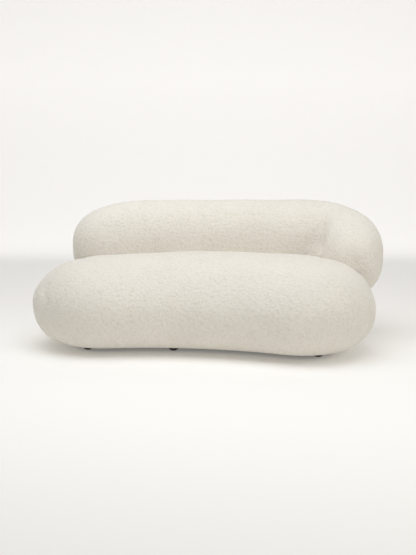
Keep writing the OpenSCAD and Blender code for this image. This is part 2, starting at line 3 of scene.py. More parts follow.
import bmesh
import bpy
import numpy as np
from mathutils.bvhtree import BVHTree
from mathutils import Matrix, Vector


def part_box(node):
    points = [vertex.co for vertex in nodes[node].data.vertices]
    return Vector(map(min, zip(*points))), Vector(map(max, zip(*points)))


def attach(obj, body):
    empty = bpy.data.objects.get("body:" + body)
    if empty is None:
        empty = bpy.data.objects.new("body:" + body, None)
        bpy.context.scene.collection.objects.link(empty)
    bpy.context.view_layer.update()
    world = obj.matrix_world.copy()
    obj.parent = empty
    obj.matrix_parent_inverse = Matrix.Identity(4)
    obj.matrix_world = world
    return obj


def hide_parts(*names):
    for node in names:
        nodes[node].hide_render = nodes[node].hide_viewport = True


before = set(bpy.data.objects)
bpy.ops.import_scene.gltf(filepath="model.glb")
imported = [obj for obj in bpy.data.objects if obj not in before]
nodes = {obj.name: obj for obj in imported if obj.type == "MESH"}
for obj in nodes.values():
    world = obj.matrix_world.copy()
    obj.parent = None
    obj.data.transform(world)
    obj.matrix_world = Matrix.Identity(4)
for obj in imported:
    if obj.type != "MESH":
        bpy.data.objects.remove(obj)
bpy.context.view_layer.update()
scene = bpy.context.scene

# ---- camera ----
# Stands about four metres in front of the sofa, a little over a metre off the floor, and looks
# slightly down at it.
def add(name, data):
    """A new object in the scene."""
    made = bpy.data.objects.new(name, data)
    scene.collection.objects.link(made)
    return made


look_down = 0.155
camera = add("camera", bpy.data.cameras.new("camera"))
camera.location = (-0.0091, -4.4924, 1.0616)
camera.rotation_euler = (math.radians(90) - look_down, 0, 0)
camera.data.sensor_width = 36
camera.data.lens = 55.71
scene.camera = camera

# ---- floor and wall ----
# A pale painted floor that meets a lit wall in one soft curve, as in a small studio. Painted shade
# greys it along the foot of the wall, and it glows: painted light that lifts the shadow under the
# sofa.
floor_front, floor_back, wall_top, cove_r, half_floor = -7.0, 5.6, 7.0, 1.8, 9.0
shade_band_from, floor_steps, cove_steps = 0.2, 8, 24
cove = []
for start, end in ((floor_front, shade_band_from), (shade_band_from, floor_back - cove_r)):
    cove += [(start + (end - start) * i / floor_steps, 0.0) for i in range(floor_steps)]
for turn in np.linspace(0, math.pi / 2, cove_steps):
    cove.append((floor_back - cove_r + cove_r * math.sin(turn), cove_r * (1 - math.cos(turn))))
cove.append((floor_back, wall_top))
corners = [(x, y, z) for y, z in cove for x in (-half_floor, half_floor)]
strips = [(2 * i, 2 * i + 1, 2 * i + 3, 2 * i + 2) for i in range(len(cove) - 1)]
mesh = bpy.data.meshes.new("floor")
mesh.from_pydata(corners, [], strips)
mesh.shade_smooth()
floor = add("floor", mesh)


def put(tree, kind, settings=None, **sockets):
    """Adds a shader node, with its settings and with a value or a link for each named socket."""
    made = tree.nodes.new("ShaderNode" + kind)
    for name, value in (settings or {}).items():
        setattr(made, name, value)
    for name, value in sockets.items():
        socket = made.inputs[name.replace("_", " ")]
        if isinstance(value, bpy.types.NodeSocket):
            tree.links.new(value, socket)
        else:
            socket.default_value = value
    return made


def ramp(tree, factor, *stops):
    """A colour ramp through (place, grey or colour) stops."""
    made = put(tree, "ValToRGB", Fac=factor)
    while len(made.color_ramp.elements) < len(stops):
        made.color_ramp.elements.new(0.5)
    for element, (place, colour) in zip(made.color_ramp.elements, stops):
        element.position = place
        element.color = (*colour, 1) if isinstance(colour, tuple) else (colour, colour, colour, 1)
    return made.outputs["Color"]


def new_material(name):
    """A material, with its node tree and its main shader."""
    made = bpy.data.materials.new(name)
    made.use_nodes = True
    return made, made.node_tree, made.node_tree.nodes["Principled BSDF"]


paint, tree, paint_shader = new_material("studio_paint")
where = put(tree, "SeparateXYZ", Vector=put(tree, "TexCoord").outputs["Object"])
run = put(tree, "MapRange", Value=where.outputs["Y"], From_Min=shade_band_from, From_Max=floor_back)
# Painted shade: the base colour is darker in a band towards the foot of the wall and paler on the
# wall
tree.links.new(
    ramp(tree, run.outputs["Result"], (0.0, (0.82, 0.815, 0.80)), (0.2, (0.78, 0.77, 0.755)),
         (0.55, (0.78, 0.775, 0.765)), (0.72, (0.92, 0.91, 0.90))),
    paint_shader.inputs["Base Color"])
# Painted light: the paint glows, more towards the wall, to lift the shadow under the sofa and
# brighten the wall
lit = ramp(tree, run.outputs["Result"], (0.0, (0.17, 0.165, 0.155)), (0.2, (0.22, 0.215, 0.21)),
           (0.55, (0.245, 0.245, 0.245)), (0.76, (0.385, 0.385, 0.385)))
tree.links.new(lit, paint_shader.inputs["Emission Color"])
paint_shader.inputs["Emission Strength"].default_value = 1
paint_shader.inputs["Roughness"].default_value = 0.9
paint_shader.inputs["Specular IOR Level"].default_value = 0.1
mesh.materials.append(paint)

# ---- lights ----
# A wide soft lamp overhead does most of the work. The room's own light is a little warm, and a
# second lamp high on the right leaves the left end and the inside of the corner darker.
world = bpy.data.worlds.new("room_light")
world.use_nodes = True
world.node_tree.nodes["Background"].inputs["Color"].default_value = (1.0, 0.96, 0.90, 1)
world.node_tree.nodes["Background"].inputs["Strength"].default_value = 0.36
scene.world = world
scene.view_settings.view_transform = "Standard"


def soft_lamp(name, place, aim, size, power, colour):
    lamp = add(name, bpy.data.lights.new(name, "AREA"))
    lamp.data.shape = "RECTANGLE"
    lamp.data.size, lamp.data.size_y = size
    lamp.data.energy = power
    lamp.data.color = colour
    lamp.location = place
    direction = np.array(aim, float) - np.array(place, float)
    flat = math.hypot(direction[0], direction[1])
    lamp.rotation_euler = (
        math.atan2(flat, -direction[2]), 0, math.atan2(direction[1], direction[0]) - math.pi / 2)


soft_lamp("top_lamp", (-0.3, -0.9, 3.0), (0, 0, 0.2), (3.6, 2.4), 66, (0.97, 1.0, 1.03))
soft_lamp("side_lamp", (3.4, -2.4, 2.3), (0, 0, 0.4), (1.6, 1.6), 26, (1.0, 0.98, 0.94))

# ---- seat cover ----
# The kidney-shaped seat under its looped cover: two round lobes, a hollow front between them and
# a bulging rear. The cover is cut and sewn to the shape, drawn over wadding and stapled below,
# so it stands taut, dips along its two front seams and passes under the roll in a deep fold.
left_lobe, right_lobe = np.array((-0.491, -0.007)), np.array((0.518, -0.158))
left_r, right_r, waist_r, rear_r = 0.388, 0.389, 1.507, 2.117
seat_bottom, widest_z, seat_edge_z, seat_crown = 0.028, 0.238, 0.453, 0.018
low_round, high_round, inner_inset = 0.200, 0.255, 0.380
low_power, high_power, crown_haste = 2.28, 1.83, 1.6
lobe_span = np.linalg.norm(right_lobe - left_lobe)
lobe_line = (right_lobe - left_lobe) / lobe_span
frontward = np.array((lobe_line[1], -lobe_line[0]))


def arc_centre(to_left, to_right):
    run = (to_left**2 - to_right**2 + lobe_span**2) / (2 * lobe_span)
    return left_lobe + lobe_line * run + frontward * math.sqrt(to_left**2 - run**2)


def heading(v):
    return math.degrees(math.atan2(v[1], v[0]))


waist_c = arc_centre(left_r + waist_r, right_r + waist_r)
rear_c = arc_centre(rear_r - left_r, rear_r - right_r)
right_turn = (heading(waist_c - right_lobe), heading(right_lobe - rear_c))
rear_turn = (heading(right_lobe - rear_c), heading(left_lobe - rear_c))
left_turn = (heading(left_lobe - rear_c), heading(waist_c - left_lobe) + 360)
waist_turn = (heading(left_lobe - waist_c), heading(right_lobe - waist_c))


def arc(centre, radius, turn, count):
    a = np.radians(turn[0] + (turn[1] - turn[0]) * np.arange(count) / count)
    return centre + radius * np.stack((np.cos(a), np.sin(a)), 1)


# The front left glide says where this plan lies in the frame
foot_inset, glide_share = 0.241, 0.76
glide_turn = math.radians(left_turn[0] + (left_turn[1] - left_turn[0]) * glide_share)
glide_way = np.array((math.cos(glide_turn), math.sin(glide_turn)))
glide_plan = left_lobe + (left_r - foot_inset) * glide_way
glide_low, glide_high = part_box("glide_front_left")
shift = np.array((glide_low + glide_high)[:2]) / 2 - glide_plan


def seat_outline(inset, lobe_steps=64, edge_steps=40):
    return np.concatenate((
        arc(right_lobe, right_r - inset, right_turn, lobe_steps),
        arc(rear_c, rear_r - inset, rear_turn, edge_steps),
        arc(left_lobe, left_r - inset, left_turn, lobe_steps),
        arc(waist_c, waist_r + inset, waist_turn, edge_steps))) + shift


def seat_levels(low_steps=14, high_steps=18, crown_steps=6):
    levels = []
    for t in np.linspace(-90, 0, low_steps, endpoint=False):
        c, s = abs(math.cos(math.radians(t))), abs(math.sin(math.radians(t)))
        levels.append((low_round * (1 - c ** (2 / low_power)),
                       widest_z - (widest_z - seat_bottom) * s ** (2 / low_power)))
    for t in np.linspace(0, 90, high_steps):
        c, s = abs(math.cos(math.radians(t))), abs(math.sin(math.radians(t)))
        levels.append((high_round * (1 - c ** (2 / high_power)),
                       widest_z + (seat_edge_z - widest_z) * s ** (2 / high_power)))
    for f in np.linspace(0, 1, crown_steps + 1)[1:]:
        climb = min(1, crown_haste * f)
        levels.append((high_round + (inner_inset - high_round) * f,
                       seat_edge_z + seat_crown * climb * (2 - climb)))
    return levels


def ringed(name, rings):
    """A closed mesh from rings of equal count, with a flat lid at each end."""
    count = len(rings[0])
    bm = bmesh.new()
    rows = [[bm.verts.new(p) for p in ring] for ring in rings]
    for low, high in zip(rows, rows[1:]):
        for i in range(count):
            bm.faces.new((low[i], low[(i + 1) % count], high[(i + 1) % count], high[i]))
    for end in (rows[0][::-1], rows[-1]):
        bmesh.ops.triangulate(bm, faces=[bm.faces.new(end)])
    bmesh.ops.recalc_face_normals(bm, faces=bm.faces)
    mesh = bpy.data.meshes.new(name)
    bm.to_mesh(mesh)
    bm.free()
    return add(name, mesh)


# The roll's path: a shallow arc along the rear, a corner, and a short arm
corner_p, corner_heading = right_lobe + np.array((0.067, 0.503)), math.radians(-5.5)
rear_path_r, rear_path_len = 3.150, 1.300
corner_r, corner_turn, arm_path_r, arm_path_len = 0.265, math.radians(83), 2.850, 0.180
roll_half_w, roll_mid_z, roll_high_h, roll_low_z, roll_flat_z = 0.173, 0.511, 0.242, 0.245, 0.267
roll_power, arm_drop, end_power = 2.31, 0.057, 2.45
left_taper, arm_taper, top_taper = 0.332, 0.264, 0.476
path_len = rear_path_len + corner_r * corner_turn + arm_path_len


def arc_end(start, turn, radius, length):
    after = turn - length / radius
    move = np.array((math.sin(turn) - math.sin(after), math.cos(after) - math.cos(turn)))
    return start + radius * move, after


def path_at(s):
    if s < rear_path_len:
        return arc_end(corner_p, corner_heading, rear_path_r, s - rear_path_len)
    if s < rear_path_len + corner_r * corner_turn:
        return arc_end(corner_p, corner_heading, corner_r, s - rear_path_len)
    arm_start = arc_end(corner_p, corner_heading, corner_r, corner_r * corner_turn)
    return arc_end(*arm_start, arm_path_r, s - rear_path_len - corner_r * corner_turn)


def dome(s, length):
    return (1 - (1 - min(1, max(0, s / length))) ** end_power) ** (1 / end_power)


def roll_centre_z(s):
    f = max(0, s - rear_path_len) / (path_len - rear_path_len)
    return roll_mid_z - arm_drop * f * f * (3 - 2 * f)


def roll_rings(grow, stations=150, around=72):
    tip = 0.0015
    rings = []
    for k in range(stations + 1):
        s = tip + (path_len - 2 * tip) * (0.5 - 0.5 * math.cos(math.pi * k / stations))
        place, turn = path_at(s)
        beside = np.array((math.sin(turn), -math.cos(turn)))
        wide = dome(s, left_taper) * dome(path_len - s, arm_taper)
        tall = dome(s, top_taper) * dome(path_len - s, top_taper)
        mid = roll_centre_z(s)
        ring = []
        for t in np.radians(np.arange(around) * 360 / around):
            c = math.copysign(abs(math.cos(t)) ** (2 / roll_power), math.cos(t))
            v = math.copysign(abs(math.sin(t)) ** (2 / roll_power), math.sin(t))
            xy = place + shift + beside * (roll_half_w * wide + grow) * c
            rise = (roll_high_h * tall if v > 0 else (mid - roll_low_z) * wide) + grow
            ring.append((xy[0], xy[1], max(roll_flat_z - grow, mid + rise * v)))
        rings.append(ring)
    return rings


def baked(piece):
    """Puts the result of the piece's modifiers into its mesh."""
    graph = bpy.context.evaluated_depsgraph_get()
    mesh = bpy.data.meshes.new_from_object(piece.evaluated_get(graph))
    piece.modifiers.clear()
    old = piece.data
    piece.data = mesh
    bpy.data.meshes.remove(old)
    return piece


def points_of(piece):
    co = np.empty(len(piece.data.vertices) * 3, np.float32)
    piece.data.vertices.foreach_get("co", co)
    return co.reshape(-1, 3).astype(float)


def normals_of(piece):
    no = np.empty(len(piece.data.vertices) * 3, np.float32)
    piece.data.vertex_normals.foreach_get("vector", no)
    return no.reshape(-1, 3).astype(float)


def move_points(piece, points):
    piece.data.vertices.foreach_set("co", points.astype(np.float32).ravel())
    piece.data.update()


def skin_of(form, name, cell):
    """An even mesh of four-sided cells drawn over a form."""
    piece = add(name, form.data.copy())
    remesh = piece.modifiers.new("cells", "REMESH")
    remesh.mode = "VOXEL"
    remesh.voxel_size = cell
    smooth = piece.modifiers.new("even", "SMOOTH")
    smooth.iterations = 3
    fit = piece.modifiers.new("fit", "SHRINKWRAP")
    fit.wrap_method = "NEAREST_SURFACEPOINT"
    fit.target = form
    return baked(piece)


hold_levels, swell_frames = 10, 20


def swell(piece, loose):
    """Cloth blown up from a slightly smaller shape. Loose is 0 where the cloth is held."""
    start = points_of(piece) - normals_of(piece) * (slack * loose)[:, None]
    move_points(piece, start)
    held = piece.vertex_groups.new(name="held")
    for level in range(1, hold_levels + 1):
        members = np.nonzero(np.round((1 - loose) * hold_levels) == level)[0].tolist()
        if members:
            held.add(members, level / hold_levels, "REPLACE")
    cloth = piece.modifiers.new("cloth", "CLOTH")
    cloth.settings.quality = 4
    cloth.settings.mass = 0.3
    cloth.settings.tension_stiffness = 12
    cloth.settings.compression_stiffness = 12
    cloth.settings.shear_stiffness = 4
    cloth.settings.bending_stiffness = 0.4
    cloth.settings.use_pressure = True
    cloth.settings.uniform_pressure_force = 4
    cloth.settings.effector_weights.gravity = 0
    cloth.settings.vertex_group_mass = "held"
    cloth.collision_settings.use_collision = False
    cloth.point_cache.frame_start = 1
    cloth.point_cache.frame_end = swell_frames
    for step in range(1, swell_frames + 1):
        scene.frame_set(step)
    baked(piece)
    scene.frame_set(1)
    moved = points_of(piece) - start
    length = np.linalg.norm(moved, axis=1, keepdims=True)
    capped = most_swell * np.tanh(length / most_swell) / np.maximum(length, 1e-9)
    move_points(piece, start + moved * capped)


def step_between(low, high, value):
    f = np.clip((value - low) / (high - low), 0, 1)
    return f * f * (3 - 2 * f)


def groove(distance, width):
    return np.exp(-((distance / width) ** 2))


def degrees_about(centre, points):
    return np.degrees(np.arctan2(points[:, 1] - centre[1], points[:, 0] - centre[0]))


# The lobe each front seam stands on, its bearing low down and high up, and where it starts to turn
front_seams = (
    (left_lobe + shift, -137.0, -147.0, 0.27), (right_lobe + shift, -30.0, -14.0, 0.25))
stitch_depth, stitch_width, hollow_depth, hollow_width = 0.0055, 0.008, 0.010, 0.032
tuck_depth, tuck_width, tuck_rise, seam_turn_rise, seam_fade_rise = 0.010, 0.030, 0.06, 0.07, 0.10
# No seam or tuck pulls the cover in deeper than this
deepest_dip = 0.0095


def seam_dips(points):
    """How far the two upright seams at the ends of the seat's front pull the cover in."""
    depth = np.zeros(len(points))
    z = points[:, 2]
    for lobe, low_turn, top_turn, start_z in front_seams:
        turned_by = step_between(start_z, start_z + seam_turn_rise, z)
        seam_turn = low_turn + (top_turn - low_turn) * turned_by
        out = np.hypot(points[:, 0] - lobe[0], points[:, 1] - lobe[1])
        outer = step_between(0.15, 0.25, out)
        apart = (degrees_about(lobe, points) - seam_turn + 180) % 360 - 180
        off = np.radians(apart) * out
        below = 1 - step_between(start_z + tuck_rise, start_z + seam_fade_rise, z)
        seam = stitch_depth * groove(off, stitch_width) + hollow_depth * groove(off, hollow_width)
        tuck = np.hypot(off, z - start_z - tuck_rise)
        depth += outer * below * seam
        depth += tuck_depth * groove(tuck, tuck_width) * outer
    return deepest_dip * np.tanh(depth / deepest_dip)


# Direction in degrees, length in metres and phase of each wave in the padding
padding_waves = ((20, 0.31, 0.4), (75, 0.47, 1.9), (130, 0.23, 3.1), (165, 0.39, 5.2))
uneven = 0.0025


def slow_waves(points):
    """Broad unevenness of hand-laid padding."""
    total = np.zeros(len(points))
    for turn, pitch, phase in padding_waves:
        a = math.radians(turn)
        along = points[:, 0] * math.cos(a) + points[:, 1] * math.sin(a) + 0.7 * points[:, 2]
        total += np.sin(along * 2 * math.pi / pitch + phase)
    return uneven * total / len(padding_waves)


# The padding is fuller from the middle to the right lobe
fullness, full_from, full_to = 0.021, -0.60, 0.0
seat_form = ringed("seat_form", [
    [(x, y, z + fullness * step_between(full_from, full_to, x)
      * step_between(widest_z, seat_edge_z, z)) for x, y in seat_outline(inset)]
    for inset, z in seat_levels()])
pocket_gap = 0.002
pocket_form = ringed("pocket_form", roll_rings(pocket_gap))
pocket = seat_form.modifiers.new("pocket", "BOOLEAN")
pocket.operation = "DIFFERENCE"
pocket.solver = "EXACT"
pocket.object = pocket_form
baked(seat_form)
cloth_cell, slack, most_swell, swell_kept = 0.017, 0.010, 0.014, 0.25
seat = skin_of(seat_form, "seat_cover_cloth", cloth_cell)


def distance_to(form, points):
    """Distance of each point from a form, below zero inside it."""
    tree = BVHTree.FromObject(form, bpy.context.evaluated_depsgraph_get())
    out = np.empty(len(points))
    for i, p in enumerate(points):
        near, normal, _, gap = tree.find_nearest(p)
        side = sum((p[k] - near[k]) * normal[k] for k in range(3))
        out[i] = math.copysign(gap, side)
    return out


seat_points = points_of(seat)
seat_loose = step_between(0.004, 0.05, distance_to(pocket_form, seat_points))
seat_loose *= step_between(seat_bottom, seat_bottom + 0.05, seat_points[:, 2])
swell(seat, seat_loose)


def press_in(piece, depth):
    move_points(piece, points_of(piece) - normals_of(piece) * depth[:, None])


def fit_out(piece, form):
    """Draws the swollen cloth to the form, and keeps a share of what the swelling made of it."""
    gap = distance_to(form, points_of(piece))
    press_in(piece, gap * (1 - swell_kept))


fit_out(seat, seat_form)
press_in(seat, slow_waves(points_of(seat)) * seat_loose)


# ---- seat padding ----
# Polyester wadding lies under the cover and follows its every dip. The top and side slabs of foam
# under it are sawn, glued into one core and give with the wadding.
def shader_group(name, inputs, outputs):
    """An empty shader node group with its sockets, and the nodes at its two ends."""
    group = bpy.data.node_groups.new(name, "ShaderNodeTree")
    for label, kind, value in inputs:
        socket = group.interface.new_socket(name=label, in_out="INPUT", socket_type=kind)
        socket.default_value = value
    for label, kind in outputs:
        group.interface.new_socket(name=label, in_out="OUTPUT", socket_type=kind)
    given = group.nodes.new("NodeGroupInput").outputs
    return group, given, group.nodes.new("NodeGroupOutput").inputs


def wire_up(tree, shader, placed, strength, distance):
    """Joins a placed effect's colour, roughness and relief to the shader."""
    relief = put(
        tree, "Bump", Strength=strength, Distance=distance, Height=placed.outputs["Height"])
    tree.links.new(placed.outputs["Color"], shader.inputs["Base Color"])
    tree.links.new(placed.outputs["Roughness"], shader.inputs["Roughness"])
    tree.links.new(relief.outputs["Normal"], shader.inputs["Normal"])


def material_from(name, effect, bump, values, constants=None):
    """A material from one placed effect, with the shader's constant values beside it."""
    made, tree, shader = new_material(name)
    placed = put(tree, "Group", {"node_tree": effect}, **values)
    wire_up(tree, shader, placed, 0.9, bump)
    for label, value in (constants or {}).items():
        shader.inputs[label].default_value = value
    return made


FLOAT, COLOUR = "NodeSocketFloat", "NodeSocketColor"
surface_outputs = (("Color", COLOUR), ("Roughness", FLOAT), ("Height", FLOAT))


def blend_of(tree, factor, first, second, kind="MIX"):
    mixed = put(tree, "MixRGB", {"blend_type": kind}, Fac=factor, Color1=first, Color2=second)
    return mixed.outputs["Color"]


def one_over(tree, size):
    """One divided by a size, which is the scale of a texture that repeats at that size."""
    made = put(tree, "Math", {"operation": "DIVIDE"})
    made.inputs[0].default_value = 1
    tree.links.new(size, made.inputs[1])
    return made.outputs[0]


def rough_with(tree, mask, change, base):
    """A roughness that changes from its base along with a mask."""
    made = put(tree, "Math", {"operation": "MULTIPLY_ADD"})
    tree.links.new(mask, made.inputs[0])
    made.inputs[1].default_value = change
    tree.links.new(base, made.inputs[2])
    return made.outputs[0]


# Open cells or tangled fibres: a cellular pattern broken up by noise
pores, given, out = shader_group("pores", (
    ("Cell size", FLOAT, 0.003), ("Deep color", COLOUR, (0.5, 0.5, 0.5, 1)),
    ("Top color", COLOUR, (0.8, 0.8, 0.8, 1)), ("Rough", FLOAT, 0.95)), surface_outputs)
spot = put(pores, "TexCoord").outputs["Object"]
scale = one_over(pores, given["Cell size"])
cells = put(pores, "TexVoronoi", Vector=spot, Scale=scale)
fuzz = put(pores, "TexNoise", Vector=spot, Scale=scale, Detail=5.0, Roughness=0.7)
level = blend_of(pores, 0.5, cells.outputs["Distance"], fuzz.outputs["Fac"])
pores.links.new(blend_of(pores, level, given["Deep color"], given["Top color"]), out["Color"])
pores.links.new(level, out["Height"])
pores.links.new(rough_with(pores, level, -0.12, given["Rough"]), out["Roughness"])

wadding_look = material_from("wadding", pores, 0.0015, {
    "Cell_size": 0.006, "Deep_color": (0.78, 0.78, 0.76, 1), "Top_color": (0.93, 0.93, 0.91, 1)})
foam_look = material_from("foam", pores, 0.0006, {
    "Cell_size": 0.0022, "Deep_color": (0.62, 0.52, 0.27, 1), "Top_color": (0.88, 0.80, 0.52, 1)})


def dress(piece, look):
    """Gives a piece its material."""
    piece.data.materials.clear()
    piece.data.materials.append(look)


def layer_under(cover, name, depth, *stands_for):
    """A padding layer that follows the cover at a constant depth."""
    layer = add(name, cover.data.copy())
    press_in(layer, np.full(len(layer.data.vertices), depth))
    layer.data.shade_smooth()
    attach(layer, "root")
    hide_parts(*stands_for)
    return layer


# Part of each dip is shared with the padding, and the rest is in the cover alone
shared_seam, wadding_depth, foam_depth = 0.6, 0.007, 0.017
press_in(seat, seam_dips(points_of(seat)) * shared_seam)
seat_wadding = layer_under(seat, "seat_wadding_layer", wadding_depth, "seat_wadding")
dress(seat_wadding, wadding_look)
seat_foam = layer_under(
    seat, "seat_foam_core", foam_depth, "seat_top_foam", "seat_side_foam")
dress(seat_foam, foam_look)


# ---- looped cloth ----
# A wool-like cloth of curled yarn. Each curl is a soft knob about a centimetre across, painted
# paler on top and darker between as painted shade, and the knobs stand up from the backing by two
# or three millimetres.
curl_size, curl_height, curl_reach = 0.0115, 0.0026, 1.15
bend_size, bend_pitch, least_place, place_spread = 0.22, 2.6, 0.15, 0.7
scatter = np.array([[127.1, 269.5, 113.5], [311.7, 183.3, 271.9], [74.7, 246.1, 124.6]])


def curls_at(points, size):
    """Height from 0 to 1 of the curl at each point: round knobs about scattered centres."""
    turn = points[:, [1, 2, 0]] * 2 * math.pi / (bend_pitch * size)
    bent = points + bend_size * size * np.sin(turn)
    cells = np.floor(bent / size)
    nearest = np.full(len(points), 9.0)
    for step in np.ndindex(3, 3, 3):
        corner = cells + np.array(step) - 1
        jitter = np.sin(corner @ scatter) * 43758.5453
        centre = (corner + least_place + place_spread * (jitter - np.floor(jitter))) * size
        nearest = np.minimum(nearest, np.linalg.norm(bent - centre, axis=1) / size)
    return 1 - np.clip(nearest * curl_reach, 0, 1) ** 2


def split_finer(piece, levels):
    finer = piece.modifiers.new("finer", "SUBSURF")
    finer.levels = finer.render_levels = levels
    return baked(piece)


def raise_curls(piece, free):
    """Lifts the curls off the cloth and keeps their height for the painted shade between them."""
    curl = curls_at(points_of(piece), curl_size)
    press_in(piece, -(curl - 0.5) * curl_height * free)
    kept = piece.data.attributes.new("curl", "FLOAT", "POINT")
    kept.data.foreach_set("value", curl.astype(np.float32))
    piece.data.shade_smooth()


looped, given, out = shader_group("looped_yarn", (
    ("Curl", FLOAT, 0.5), ("Yarn size", FLOAT, 0.004), ("Deep color", COLOUR, (0.6, 0.5, 0.4, 1)),
    ("Top color", COLOUR, (0.85, 0.8, 0.7, 1))), surface_outputs)
spot = put(looped, "TexCoord").outputs["Object"]
drift = put(looped, "TexNoise", Vector=spot, Scale=5.0, Detail=2.0)
tangle = put(looped, "TexNoise", Vector=spot, Scale=180.0, Detail=2.0)
warped = blend_of(looped, 0.012, spot, tangle.outputs["Color"], "ADD")
yarn = put(looped, "TexVoronoi", {"feature": "SMOOTH_F1"}, Vector=warped,
           Scale=one_over(looped, given["Yarn size"]), Smoothness=0.6)
strand = ramp(looped, yarn.outputs["Distance"], (0.1, 1.0), (0.75, 0.0))
curl_and_strand = blend_of(looped, 0.42, given["Curl"], strand)
# Painted shade: Deep color fills the hollows between the curls and strands, Top color is the yarn's
# own colour
curl_pit_shade = ramp(looped, curl_and_strand, (0.12, 0.0), (0.72, 1.0))
cloth_colour_with_pit_shade = blend_of(looped, curl_pit_shade, given["Deep color"], given["Top color"])
shade = ramp(looped, drift.outputs["Fac"], (0.3, 0.97), (0.7, 1.0))
looped.links.new(blend_of(looped, 1.0, cloth_colour_with_pit_shade, shade, "MULTIPLY"), out["Color"])
looped.links.new(curl_and_strand, out["Height"])
looped.links.new(ramp(looped, curl_pit_shade, (0.0, 1.0), (1.0, 0.86)), out["Roughness"])

cloth, tree, shader = new_material("looped_cloth")
curl = put(tree, "Attribute", {"attribute_name": "curl"})
# Deep_color here is the painted shade in the cloth's hollows
placed = put(tree, "Group", {"node_tree": looped}, Curl=curl.outputs["Fac"], Yarn_size=0.0042,
             Deep_color=(0.745, 0.695, 0.61, 1), Top_color=(0.83, 0.795, 0.73, 1))
wire_up(tree, shader, placed, 0.6, 0.0022)
shader.inputs["Specular IOR Level"].default_value = 0.15
shader.inputs["Sheen Weight"].default_value = 0.35
shader.inputs["Sheen Roughness"].default_value = 0.5
shader.inputs["Sheen Tint"].default_value = (1.0, 0.99, 0.97, 1)


def finish_cover(piece, stands_for):
    dress(piece, cloth)
    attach(piece, "root")
    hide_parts(stands_for)


def loose_now(piece):
    points = points_of(piece)
    free = step_between(0.0, 0.02, distance_to(pocket_form, points))
    return free * step_between(seat_bottom, seat_bottom + 0.02, points[:, 2])


finest = 2
split_finer(seat, finest)
press_in(seat, seam_dips(points_of(seat)) * (1 - shared_seam))
raise_curls(seat, loose_now(seat))
finish_cover(seat, "seat_cover")

# ---- roll cover ----
# One sleeve of the same cloth round the back and the arm, closed by a cap at each end, gathered on
# the arm.
# Where the back turns into the arm the sleeve is pulled in along a soft upright fold.
roll_form = ringed("roll_form", roll_rings(0))
roll = skin_of(roll_form, "roll_cover_cloth", cloth_cell)
turn_centre = corner_p + shift + corner_r * np.array(
    (math.sin(corner_heading), -math.cos(corner_heading)))
# The fold leans over as it rises, holds back near the seat and stands out a little beside it
fold_foot_z, fold_top_z, fold_turn, fold_lean, lean_power = 0.45, 0.74, 18, 32, 1.6
fold_depth, fold_width, crease_depth, crease_width = 0.040, 0.062, 0.003, 0.014
foot_share, foot_rise, fold_in, fold_out = 0.25, 0.08, 0.19, 0.27
bulge_height, bulge_width, bulge_off = 0.010, 0.05, 0.095
# The gathers follow the edge of the cap on the arm, which widens below its middle
gather_depth, gather_width, gather_z, gather_reach = 0.007, 0.03, 0.45, 0.10
cap_half_w, cap_spread, cap_mid_z = 0.232, 0.35, 0.49


def roll_dips(points):
    """Depth of the fold at the inside of the corner, and of the cap's gathers on the arm."""
    z = points[:, 2]
    out = np.hypot(points[:, 0] - turn_centre[0], points[:, 1] - turn_centre[1])
    up = np.clip((z - fold_foot_z) / (fold_top_z - fold_foot_z), 0, 1)
    fold_line = fold_turn + fold_lean * up**lean_power
    off = np.radians(degrees_about(turn_centre, points) - fold_line) * out
    inside = 1 - step_between(fold_in, fold_out, out)
    off_seat = step_between(fold_foot_z, fold_foot_z + foot_rise, z)
    held_by_seat = foot_share + (1 - foot_share) * off_seat
    fold = fold_depth * groove(off, fold_width) + crease_depth * groove(off, crease_width)
    depth = inside * held_by_seat * (1 - 0.7 * up) * fold
    bulge = inside * (1 - 0.8 * up) * bulge_height * groove(off + bulge_off, bulge_width)
    arm_face = step_between(-0.02, 0.03, turn_centre[1] - 0.10 - points[:, 1])
    cap_x = turn_centre[0] + cap_half_w + cap_spread * (cap_mid_z - z) * (z < cap_mid_z)
    cap = arm_face * groove(points[:, 0] - cap_x, gather_width)
    cap *= groove(z - gather_z, gather_reach)
    return depth - bulge + gather_depth * cap


def roll_free(points):
    return step_between(roll_flat_z, roll_flat_z + 0.12, points[:, 2])


roll_loose = roll_free(points_of(roll))
swell(roll, roll_loose)
fit_out(roll, roll_form)
press_in(roll, slow_waves(points_of(roll)) * roll_loose)
shared_fold = 0.8
press_in(roll, roll_dips(points_of(roll)) * shared_fold)
roll_wadding = layer_under(roll, "roll_wadding_layer", wadding_depth, "back_wadding")
dress(roll_wadding, wadding_look)
roll_foam = layer_under(roll, "roll_foam_core", foam_depth, "back_foam")
dress(roll_foam, foam_look)
split_finer(roll, finest)
press_in(roll, roll_dips(points_of(roll)) * (1 - shared_fold))
raise_curls(roll, roll_free(points_of(roll)))
finish_cover(roll, "back_cover")
for form in (seat_form, pocket_form, roll_form):
    bpy.data.objects.remove(form)

# ---- feet ----
# Six low bun feet, turned in hardwood and sprayed with a satin black lacquer through which a faint
# grain shows. A felt glide is stuck under each.
grain, given, out = shader_group("wood_grain", (
    ("Ring size", FLOAT, 0.012), ("Stretch", FLOAT, 8.0),
    ("Dark color", COLOUR, (0.3, 0.2, 0.1, 1)), ("Light color", COLOUR, (0.6, 0.4, 0.2, 1)),
    ("Rough", FLOAT, 0.5)), surface_outputs)
spot = put(grain, "TexCoord").outputs["Object"]
squeeze = put(grain, "CombineXYZ", Y=1.0, Z=1.0)
grain.links.new(one_over(grain, given["Stretch"]), squeeze.inputs["X"])
drawn = put(grain, "VectorMath", {"operation": "MULTIPLY"})
grain.links.new(spot, drawn.inputs[0])
grain.links.new(squeeze.outputs["Vector"], drawn.inputs[1])
figure = put(grain, "TexNoise", Vector=drawn.outputs["Vector"],
             Scale=one_over(grain, given["Ring size"]), Detail=4.0, Distortion=0.8)
